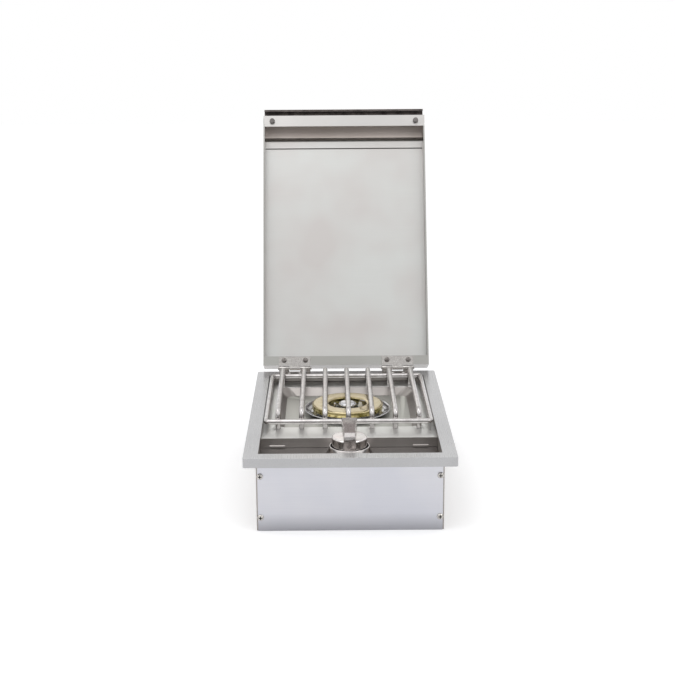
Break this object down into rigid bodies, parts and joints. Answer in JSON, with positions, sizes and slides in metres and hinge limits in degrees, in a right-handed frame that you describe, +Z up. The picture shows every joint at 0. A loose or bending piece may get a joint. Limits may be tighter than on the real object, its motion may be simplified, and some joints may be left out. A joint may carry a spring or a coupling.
{
  "type": "built in side burner",
  "caption": "Drop-in gas side burner: a steel box with a rim, an open hinged lid, a rod grate over a ring burner in a basin, and a knob in a front trough.",
  "frame": {"origin": "centre of the underside of the housing, on the face it stands on", "axes": "+X to the right seen from the knob's side, +Y to the back where the hinges and the gas inlet are, +Z up"},
  "size_m": [0.305, 0.68, 0.5468],
  "materials": {
    "brushed_sheet": "brushed",
    "lid_sheet": "brushed",
    "plain_sheet": "satin",
    "polished_steel": "polished",
    "grate_rod": "polished",
    "burner_brass": "satin",
    "fitting_brass": "machined",
    "cast_alloy": "cast",
    "ceramic": "glazed ceramic, modelled as opaque glass",
    "rubber": "matt"
  },
  "bodies": {
    "housing": {"trim_frame": "brushed_sheet", "left_side_panel": "plain_sheet", "right_side_panel": "plain_sheet", "front_panel": "brushed_sheet", "rear_panel": "brushed_sheet", "bottom_panel": "plain_sheet", "front_screw_1": "polished_steel", "front_screw_2": "polished_steel", "front_screw_3": "polished_steel", "front_screw_4": "polished_steel", "rear_screw_1": "polished_steel", "rear_screw_2": "polished_steel", "rear_screw_3": "polished_steel", "rear_screw_4": "polished_steel", "control_tray": "brushed_sheet", "burner_pan": "brushed_sheet", "knob_bezel": "polished_steel", "gas_valve": "fitting_brass", "gas_orifice": "fitting_brass", "gas_inlet_pipe": "plain_sheet", "gas_inlet_fitting": "fitting_brass", "burner_base": "cast_alloy", "burner_ring": "burner_brass", "burner_bowl": "polished_steel", "burner_hub": "polished_steel", "mixing_tube": "cast_alloy", "burner_screw_1": "plain_sheet", "burner_screw_2": "plain_sheet", "igniter_insulator": "ceramic", "igniter_tip": "polished_steel", "flame_probe": "plain_sheet", "left_hinge_fixed_leaf": "polished_steel", "right_hinge_fixed_leaf": "polished_steel", "left_hinge_pin": "polished_steel", "right_hinge_pin": "polished_steel", "hinge_rivet_1": "polished_steel", "hinge_rivet_2": "polished_steel", "hinge_rivet_3": "polished_steel", "hinge_rivet_4": "polished_steel"},
    "lid": {"lid_skin": "lid_sheet", "lid_liner": "lid_sheet", "lid_stiffener": "lid_sheet", "lid_pull": "lid_sheet", "lid_bumper_left": "rubber", "lid_bumper_right": "rubber", "left_hinge_moving_leaf": "polished_steel", "right_hinge_moving_leaf": "polished_steel", "lid_bolt_1": "polished_steel", "lid_bolt_2": "polished_steel", "lid_bolt_3": "polished_steel", "lid_bolt_4": "polished_steel"},
    "grate": {"cooking_grate": "grate_rod"},
    "push_collar": {"stem_collar": "plain_sheet"},
    "knob": {"control_knob": "polished_steel", "valve_stem": "fitting_brass"},
    "shutter": {"air_shutter": "plain_sheet"}
  },
  "joints": [
    {"name": "lid_hinge", "type": "hinge", "parent": "housing", "child": "lid", "pos_m": [0, 0.2219, 0.1235], "axis": [-1, 0, 0], "range_deg": [-113.25, 0]},
    {"name": "grate_lift", "type": "slide", "parent": "housing", "child": "grate", "axis": [0, 0, 1], "range_m": [0, 0.06]},
    {"name": "knob_push", "type": "slide", "parent": "housing", "child": "push_collar", "axis": [0, 0, -1], "range_m": [0, 0.003], "stiffness_N_per_m": 1200, "springref_m": -0.004},
    {"name": "knob_turn", "type": "hinge", "parent": "push_collar", "child": "knob", "pos_m": [0, -0.149, 0.1], "axis": [0, 0, 1], "range_deg": [0, 210]},
    {"name": "air_shutter_turn", "type": "hinge", "parent": "housing", "child": "shutter", "pos_m": [0, -0.1103, 0.068], "axis": [0, 1, 0], "range_deg": [0, 60]}
  ]
}
